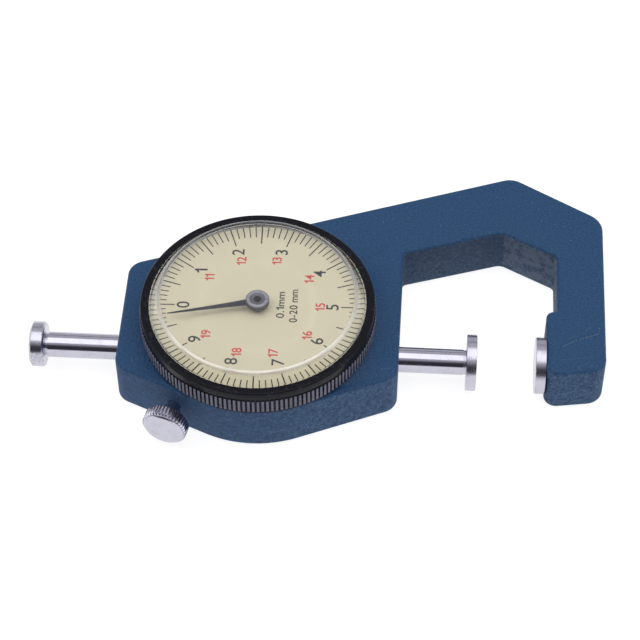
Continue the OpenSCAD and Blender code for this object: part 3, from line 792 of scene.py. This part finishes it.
def frame_casting():
    """The cast frame, with its outer edges rounded over as the mould leaves them."""
    shape = cad_copy("frame")
    clear_of_bores = 17.9 * mm
    faces = (0.0, round(plate_top / mm, 3))

    def is_outer(edge):
        if not edge.is_manifold or edge.calc_face_angle() < math.radians(60):
            return False
        heights = {round(v.co.z / mm, 3) for v in edge.verts}
        level = len(heights) == 1 and heights.pop() in faces
        return level and all(v.co.xy.length > clear_of_bores for v in edge.verts)

    outer = [e for e in shape.edges if is_outer(e)]
    bmesh.ops.bevel(
        shape, geom=outer, offset=0.6 * mm, segments=6, profile=0.5, affect="EDGES",
        clamp_overlap=False
    )
    return piece("frame_casting", from_bmesh(shape), "body", "painted_casting", ["frame"], crease=32)


def cover_screws():
    """The countersunk screws of the back cover, each with its slot left at its own angle."""
    shape = cad_copy("cover_screws")
    heads = [f.calc_center_median() for f in shape.faces if f.normal.z < -0.99]
    low = min(head.z for head in heads)
    half_length, half_width, depth = 1.3 * mm, 0.15 * mm, 0.35 * mm
    slots = []
    for k, head in enumerate(h for h in heads if h.z < low + 0.01 * mm):
        slot = block((-half_length, -half_width, -mm), (half_length, half_width, depth))
        turn = Matrix.Rotation(math.radians(25 + 70 * k), 4, "Z")
        slot.transform(Matrix.Translation(head) @ turn)
        slots.append(slot)
    screws = cut(from_bmesh(shape), *slots)
    return piece("slotted_cover_screws", screws, "body", "steel_screw", ["cover_screws"], crease=30)


# ---------------------------------------------------------------- bezel and dial


def knurled_bezel():
    """The turned bezel and, all round it, a straight knurl."""
    low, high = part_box("bezel")
    bottom, top = low.z / mm, high.z / mm
    crest = 19.6
    root = crest - 0.27
    band_low, band_high = bottom + 0.35, bottom + 3.25
    body = turned(
        [
            (17.45, bottom, 0.1), (crest - 0.25, bottom, 0.12), (crest - 0.25, band_low, 0.05),
            (root, band_low, 0), (root, band_high, 0), (crest - 0.2, band_high + 0.1, 0.04),
            (crest - 0.2, top, 0.3), (18.0, top, 0.12), (18.0, top - 0.4, 0.05),
            (18.2, top - 0.4, 0), (18.2, dial_top / mm - 0.5, 0), (17.45, dial_top / mm - 0.5, 0),
        ],
        closed=True, steps=192,
    )
    count = 160
    ridge = knurl_ridge(root, crest, 2 * math.pi * crest / count, band_low, band_high, 0.22)
    ridges = ring_of(ridge, count, 0, "bezel_black")
    return piece("knurled_bezel", joined(body, ridges), "bezel_group", "bezel_black", ["bezel"])


def dial_face():
    face = turned(
        [
            (1.2, 11.9, 0), (18.15, 11.9, 0), (18.15, dial_top / mm, 0.03),
            (1.2, dial_top / mm, 0.04),
        ],
        closed=True, steps=128,
    )
    return piece("dial_face", face, "bezel_group", "dial_cream", ["dial_plate"])


def tick(inner, outer, width):
    low, high = dial_top - print_depth, dial_top + print_depth
    return block((inner * mm, -width / 2 * mm, low), (outer * mm, width / 2 * mm, high))


def dial_ticks():
    """A hundred divisions, every fifth one long."""
    short = ring_of(tick(15.2, 17.5, 0.18), divisions, dial_turn, "ink_black")
    long = ring_of(tick(13.75, 17.5, 0.20), divisions // 5, dial_turn, "ink_black")
    ticks = joined(short, long)
    return piece("dial_ticks", ticks, "bezel_group", "dial_cream", finish="ink_black", crease=30)


def figure_one(weight):
    """The outline of a 1 with a flag, its stem made wider by the weight."""
    grown = weight * 0.8
    left, right = 0.17 - grown, 0.28 + grown
    return [
        (0, 0.46), (0, 0.56), (0.13, 0.62), (0.19, figure_height), (right, figure_height),
        (right, 0), (left, 0), (left, 0.50),
    ]


def glyph(letter, weight):
    """One figure or letter as a solid, at the type's size 1. A 1 gets its own outline."""
    if letter == "1":
        return prism([[(x, y, z) for x, y in figure_one(weight)] for z in (-0.5, 0.5)])
    curve = bpy.data.curves.new("letter", "FONT")
    curve.body = letter
    curve.extrude = 0.5
    curve.offset = weight
    curve.resolution_u = 6
    return frozen(bpy.data.objects.new("letter", curve))


def lettering(text, cap_height, centre, weight, length=None, narrowing=1.0):
    """Flat letters whose feet point away from the lifting knob, centred at a place in metres."""
    gap, space = 0.09, 0.26
    letters = []
    reach = 0
    for letter in text:
        if letter == " ":
            reach += space
            continue
        mesh = glyph(letter, weight)
        left = min(v.co.x for v in mesh.vertices)
        mesh.transform(Matrix.Translation((reach - left, 0, 0)))
        reach = max(v.co.x for v in mesh.vertices) + gap
        letters.append(mesh)
    mesh = joined(*letters)
    low = Vector([min(v.co[i] for v in mesh.vertices) for i in range(3)])
    high = Vector([max(v.co[i] for v in mesh.vertices) for i in range(3)])
    size = cap_height * mm / figure_height
    across = length * mm / (high.x - low.x) if length else size * narrowing
    scale = Matrix.Diagonal((across, size, 2 * print_depth, 1))
    turn = Matrix.Rotation(dial_turn + math.pi / 2, 4, "Z")
    place = Matrix.Translation((centre[0], centre[1], dial_top))
    mesh.transform(place @ turn @ scale @ Matrix.Translation(-(low + high) / 2))
    shape = bmesh.new()
    shape.from_mesh(mesh)
    bmesh.ops.remove_doubles(shape, verts=shape.verts, dist=1e-7)
    return from_bmesh(shape)


def round_dial(value, radius, nudge):
    """Where a dial value lies at a radius in millimetres, and a small turn in degrees."""
    angle = math.pi + dial_turn - 2 * math.pi * (value % 10) / 10 + math.radians(nudge)
    return radius * mm * math.cos(angle), radius * mm * math.sin(angle)


def dial_numbers():
    nudges = {1: -1.3, 3: 1.6, 13: 2.5, 17: -1.5, 18: 1.0, 19: 1.0}
    black = [
        lettering(str(n), 2.15, round_dial(n, 12.35, nudges.get(n, 0)), 0.006)
        for n in range(10)
    ]
    red = [
        lettering(str(n), 1.62, round_dial(n, 10.3, nudges.get(n, 0)), 0.014, narrowing=0.95)
        for n in range(11, 20)
    ]
    legend = [
        lettering("0.1mm", 1.35, (3.72 * mm, 0.44 * mm), 0.010, length=5.6),
        lettering("0-20 mm", 1.35, (5.92 * mm, 0.34 * mm), 0.010, length=7.07),
    ]
    made = []
    for name, meshes, ink in (
        ("dial_numbers_black", black, "ink_black"),
        ("dial_numbers_red", red, "ink_red"),
        ("dial_legend", legend, "ink_black"),
    ):
        made.append(piece(name, joined(*meshes), "bezel_group", "dial_cream", finish=ink, crease=30))
    return made


def reflector_ring():
    ring = turned(
        [
            (17.5, dial_top / mm, 0), (18.13, dial_top / mm, 0), (18.13, dial_top / mm + 0.6, 0),
            (17.8, dial_top / mm + 0.6, 0.05),
        ],
        closed=True, steps=160,
    )
    return piece("spun_reflector", ring, "bezel_group", "reflector_silver", ["reflector_ring"])


def crystal():
    """A flat-topped dome with a sloping shoulder and a flange under the bezel's lip."""
    low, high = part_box("crystal")
    seat, top = low.z / mm, high.z / mm
    under = top - 1.1
    dome = turned(
        [
            (0, under, 0), (16.1, under, 0.3), (17.3, seat + 0.35, 0.1), (17.3, seat, 0),
            (18.14, seat, 0.05), (18.14, seat + 0.6, 0.05), (17.95, seat + 0.6, 0.02),
            (17.95, seat + 1.0, 0.2), (16.3, top, 0.8), (0, top, 0),
        ],
        steps=192, rounding_steps=8,
    )
    return piece("domed_crystal", dome, "bezel_group", "crystal_clear", ["crystal"], crease=50)


# ---------------------------------------------------------------- pointer


pointer_low, pointer_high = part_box("pointer")
pointer_angle = math.atan2(
    min((v.co for v in frame["nodes"]["pointer"].data.vertices), key=lambda c: c.x).y,
    pointer_low.x,
)


def needle():
    """A tapered needle with a low ridge along its back, and a round boss under the cap."""
    length = 15.0
    bottom, top = pointer_low.z, pointer_high.z
    turn = Matrix.Rotation(pointer_angle, 4, "Z")

    def section(at, half):
        return [
            (at * mm, -half * mm, bottom), (at * mm, half * mm, bottom),
            (at * mm, half * mm, bottom + 0.10 * mm), (at * mm, 0, top),
            (at * mm, -half * mm, bottom + 0.10 * mm),
        ]

    blade = prism([
        section(0.6, 0.75), section(3.0, 0.55), section(7.0, 0.37), section(12.0, 0.21),
        section(length - 1, 0.14), section(length, 0.05),
    ])
    blade.transform(turn)
    boss = turned(
        [(0.5, bottom / mm, 0), (1.75, bottom / mm, 0.03), (1.75, top / mm, 0.03), (0.5, top / mm, 0)],
        closed=True,
    )
    return piece(
        "tapered_needle", joined(blade, boss), "pointer_group", "pointer_blue", ["pointer"], crease=20
    )


def needle_cap():
    """The round cap over the arbor, dished a little in the middle."""
    low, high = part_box("pointer_cap")
    bottom, top = low.z / mm, high.z / mm
    cap = turned(
        [
            (0.5, bottom, 0), (1.95, bottom, 0.03), (1.95, top, 0.16), (1.15, top, 0.1),
            (0.95, top - 0.10, 0.05), (0.5, top - 0.10, 0.03),
        ],
        closed=True,
    )
    return piece("needle_cap", cap, "pointer_group", "hub_steel", ["pointer_cap"])


def needle_hub():
    low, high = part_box("pointer_hub")
    bottom, top = low.z / mm, high.z / mm
    hub = turned(
        [
            (0.5, bottom, 0), (0.9, bottom, 0.05), (0.9, bottom + 0.6, 0.04),
            (1.95, bottom + 0.6, 0.08), (1.95, top, 0.03), (0.5, top, 0),
        ],
        closed=True,
    )
    return piece("needle_hub", hub, "pointer_group", "hub_steel", ["pointer_hub"])


# ---------------------------------------------------------------- spindle and anvil


def along_spindle(x):
    """A place on the spindle's axis whose Z points to the anvil."""
    return axis_place(Vector((x * mm, contact_centre.y, spindle_height)), (1, 0, 0))


def lift_knob():
    """The lifting knob, its neck and its stud."""
    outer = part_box("lift_knob")[0].x / mm
    knob = turned(
        [
            (0, 0, 0), (3.3, 0, 0.1), (3.8, 0.35, 0.12), (3.8, 2.15, 0.12), (3.5, 2.45, 0.08),
            (1.8, 2.45, 0.06), (1.8, 2.95, 0), (1.0, 2.95, 0), (1.0, 6.75, 0), (0, 6.75, 0),
        ],
        place=along_spindle(outer), steps=128,
    )
    return piece(
        "lifting_knob", knob, "spindle_group", "polished_chrome", ["lift_knob"], "worn_chrome", 30
    )


def contact_flange():
    face = contact_centre.x / mm
    flange = turned(
        [
            (0, -6.0, 0), (1.0, -6.0, 0), (1.0, -2.2, 0), (2.05, -2.2, 0), (2.05, -1.7, 0.06),
            (4.7, -1.7, 0.12), (4.7, 0, 0.12), (0, 0, 0),
        ],
        place=along_spindle(face), steps=128,
    )
    return piece(
        "contact_disc", flange, "spindle_group", "polished_chrome", ["contact_flange"],
        "flange_chrome", 30
    )


def anvil():
    face = anvil_centre.x / mm
    disc = turned(
        [
            (0, 0, 0), (4.7, 0, 0.14), (4.7, 1.7, 0.08), (2.0, 1.7, 0), (2.0, 7.7, 0.1), (0, 7.7, 0),
        ],
        place=along_spindle(face), steps=128,
    )
    return piece("anvil_disc", disc, "body", "polished_chrome", ["anvil"], "flange_chrome", 30)


# ---------------------------------------------------------------- lock screw


def lock_screw():
    """The lock screw: a slightly domed face, a knurled rim, a shoulder and its thread."""
    count = 42
    root, crest = 3.50, 3.75
    place = axis_place(lock_face_centre, lock_inward)
    core = turned(
        [
            (0, 0, 0), (2.2, 0.03, 0), (3.05, 0.14, 0.3), (3.42, 0.36, 0.05), (3.36, 0.46, 0.03),
            (root, 0.50, 0), (root, 2.35, 0), (3.3, 2.6, 0.08), (1.45, 2.6, 0.08), (1.45, 4.6, 0.1),
            (1.15, 4.6, 0), (1.15, 12.3, 0.1), (0, 12.3, 0),
        ],
        place=place, steps=126,
    )
    ridge = knurl_ridge(root, crest, 2 * math.pi * crest / count, 0.46, 2.45, 0.20)
    ridges = ring_of(ridge, count, 0, "lock_chrome")
    ridges.transform(place)
    screw = joined(core, ridges)
    return piece("knurled_lock_screw", screw, "screw", "lock_chrome", ["lock_screw"], crease=30)


# ---------------------------------------------------------------- inside


def return_spring():
    """The closed coil with a hook at each end, made at rest between the spindle's arm and its anchor pin; in the
    real gauge it stretches as the spindle moves.
    """
    arm_low, arm_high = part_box("spring_arm")
    pin_low, pin_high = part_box("spring_anchor")
    coil_low, coil_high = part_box("return_spring")
    wire_radius = 0.125 * mm
    arm_x = (arm_low.x + arm_high.x) / 2
    pin_x = (pin_low.x + pin_high.x) / 2
    y = (pin_low.y + pin_high.y) / 2
    coil_radius = (coil_high.z - coil_low.z) / 2 - wire_radius
    eye = 0.66 * mm
    hook_reach, hook_points, hook_step = 1.6 * mm, 13, 25
    start, end = arm_x + hook_reach, pin_x - hook_reach
    turns, turn_points = 38, 16
    coil_points = turns * turn_points
    points = []
    for k in range(hook_points):
        a = math.radians(300 - hook_step * k)
        points.append((arm_x + eye * math.cos(a), y, spindle_height + eye * math.sin(a)))
    for k in range(coil_points + 1):
        a = 2 * math.pi * k / turn_points
        x = start + (end - start) * k / coil_points
        points.append((x, y + coil_radius * math.sin(a), spindle_height + coil_radius * math.cos(a)))
    for k in range(hook_points):
        a = math.radians(180 - hook_step * k)
        points.append((pin_x + eye * math.cos(a), y + eye * math.sin(a), spindle_height))
    coil = piece(
        "spring_coil", wire(points, wire_radius, "spring_wire", 8), None, "spring_wire",
        ["return_spring"]
    )
    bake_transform(coil)
    return coil


# ---------------------------------------------------------------- all pieces

frame_casting()
cover_screws()
knurled_bezel()
dial_face()
dial_ticks()
dial_numbers()
reflector_ring()
crystal()
needle()
needle_cap()
needle_hub()
lift_knob()
contact_flange()
anvil()
lock_screw()
return_spring()

own_finish = {"pinion_arbor": "oiled_steel"}
slot_of = {s["node"]: s["material_slot"] for s in frame["record"]["subparts"]}
for name, node in frame["nodes"].items():
    if not node.hide_render:
        node.data.materials.clear()
        node.data.materials.append(finishes[own_finish.get(name, slot_of[name])])


# ---------------------------------------------------------------- studio


def studio_floor():
    """A wide pale floor just under the back face, which gives off light of its own."""
    finish = Finish("Pale floor", Roughness=0.9, Specular_IOR_Level=0.0)
    finish.surface.inputs["Base Color"].default_value = (0.30, 0.30, 0.30, 1)
    finish.surface.inputs["Emission Color"].default_value = (1, 1, 1, 1)
    finish.surface.inputs["Emission Strength"].default_value = 0.86
    half, level = 3.0, -0.05 * mm
    mesh = bpy.data.meshes.new("floor")
    mesh.from_pydata(
        [(-half, -half, level), (half, -half, level), (half, half, level), (-half, half, level)],
        [], [(0, 1, 2, 3)],
    )
    floor = bpy.data.objects.new("floor", mesh)
    mesh.materials.append(finish.material)
    bpy.context.scene.collection.objects.link(floor)


def studio_light():
    """A soft box overhead, a pale room, and a dark screen low in front for the chrome."""
    world = bpy.data.worlds.new("studio")
    world.use_nodes = True
    bpy.context.scene.world = world
    nodes, links = world.node_tree.nodes, world.node_tree.links

    def step(value, low, high):
        node = nodes.new("ShaderNodeMapRange")
        node.interpolation_type = "SMOOTHSTEP"
        node.inputs["From Min"].default_value = low
        node.inputs["From Max"].default_value = high
        links.new(value, node.inputs["Value"])
        return node.outputs[0]

    def product(first, second):
        node = nodes.new("ShaderNodeMath")
        node.operation = "MULTIPLY"
        links.new(first, node.inputs[0])
        links.new(second, node.inputs[1])
        return node.outputs[0]

    split = nodes.new("ShaderNodeSeparateXYZ")
    links.new(nodes.new("ShaderNodeTexCoord").outputs["Generated"], split.inputs[0])
    across, up = split.outputs["Y"], split.outputs["Z"]
    front = step(across, -0.05, -0.35)
    screen = product(front, product(step(up, 0.02, 0.10), step(up, 0.93, 0.55)))
    back = step(across, 0.10, 0.30)
    seam = product(back, product(step(up, 0.54, 0.57), step(up, 0.63, 0.60)))
    shade = nodes.new("ShaderNodeMath")
    shade.operation = "MAXIMUM"
    links.new(screen, shade.inputs[0])
    links.new(seam, shade.inputs[1])
    mix = nodes.new("ShaderNodeMix")
    mix.data_type = "RGBA"
    colours = [s for s in mix.inputs if s.enabled]
    links.new(shade.outputs[0], colours[0])
    colours[1].default_value = (0.62, 0.62, 0.66, 1)
    colours[2].default_value = (0.05, 0.045, 0.055, 1)
    links.new(next(s for s in mix.outputs if s.enabled), nodes["Background"].inputs["Color"])
    nodes["Background"].inputs["Strength"].default_value = 1.0

    data = bpy.data.lights.new("soft_box", "AREA")
    data.shape = "RECTANGLE"
    data.size, data.size_y = 2.0, 0.52
    data.energy = 3.75
    box = bpy.data.objects.new("soft_box", data)
    box.location = (0.02, -0.02, 0.60)
    bpy.context.scene.collection.objects.link(box)


def studio_camera():
    """A long lens above the near side, with a slight swing and roll."""
    data = bpy.data.cameras.new("camera")
    data.sensor_width = 36
    data.lens = 123.13
    camera = bpy.data.objects.new("camera", data)
    bpy.context.scene.collection.objects.link(camera)
    elevation, swing, roll = math.radians(50.39), math.radians(3.91), math.radians(-0.54)
    target, distance = Vector((9.73 * mm, 8.20 * mm, 0)), 376.4 * mm
    back = Vector((
        math.sin(swing) * math.cos(elevation),
        -math.cos(swing) * math.cos(elevation),
        math.sin(elevation),
    ))
    right = Vector((math.cos(swing), math.sin(swing), 0))
    up = back.cross(right)
    side = math.cos(roll) * right + math.sin(roll) * up
    head = math.cos(roll) * up - math.sin(roll) * right
    turn = Matrix((side, head, back)).transposed().to_4x4()
    camera.matrix_world = Matrix.Translation(target + back * distance) @ turn
    data.clip_start, data.clip_end = 0.01, 20
    bpy.context.scene.camera = camera


studio_floor()
studio_light()
studio_camera()
bpy.context.scene.view_settings.view_transform = "Standard"
